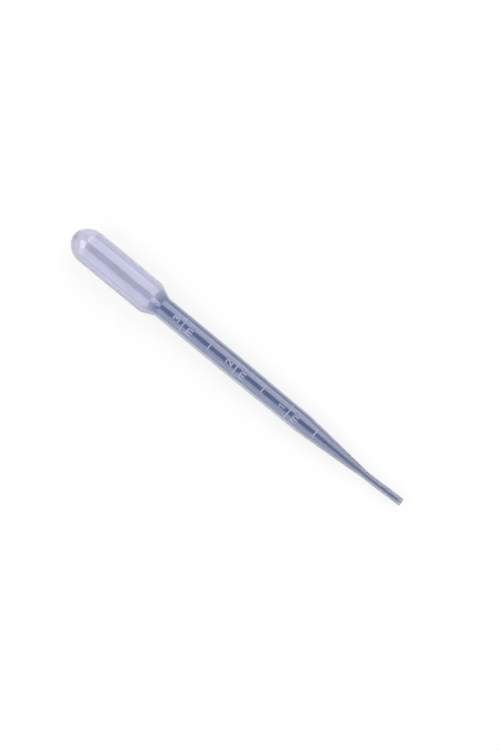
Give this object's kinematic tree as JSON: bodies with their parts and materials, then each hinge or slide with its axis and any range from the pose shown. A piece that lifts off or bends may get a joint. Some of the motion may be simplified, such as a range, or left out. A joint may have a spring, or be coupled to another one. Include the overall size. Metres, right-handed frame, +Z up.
{
  "type": "plastic dropper pipette",
  "caption": "One-piece soft plastic transfer pipette with a squeeze bulb, a graduated barrel and a drawn-out tip.",
  "frame": {"origin": "middle of the bounding box, at its bottom: on the bench that the pipette lies on", "axes": "+X along the pipette from the bulb to the tip, +Z up, with the raised scale facing up; the tip is bent a little towards +Y"},
  "size_m": [0.155, 0.013, 0.014],
  "materials": {
    "polyethylene": "satin"
  },
  "bodies": {
    "root": {"pipette": "polyethylene"}
  },
  "joints": []
}
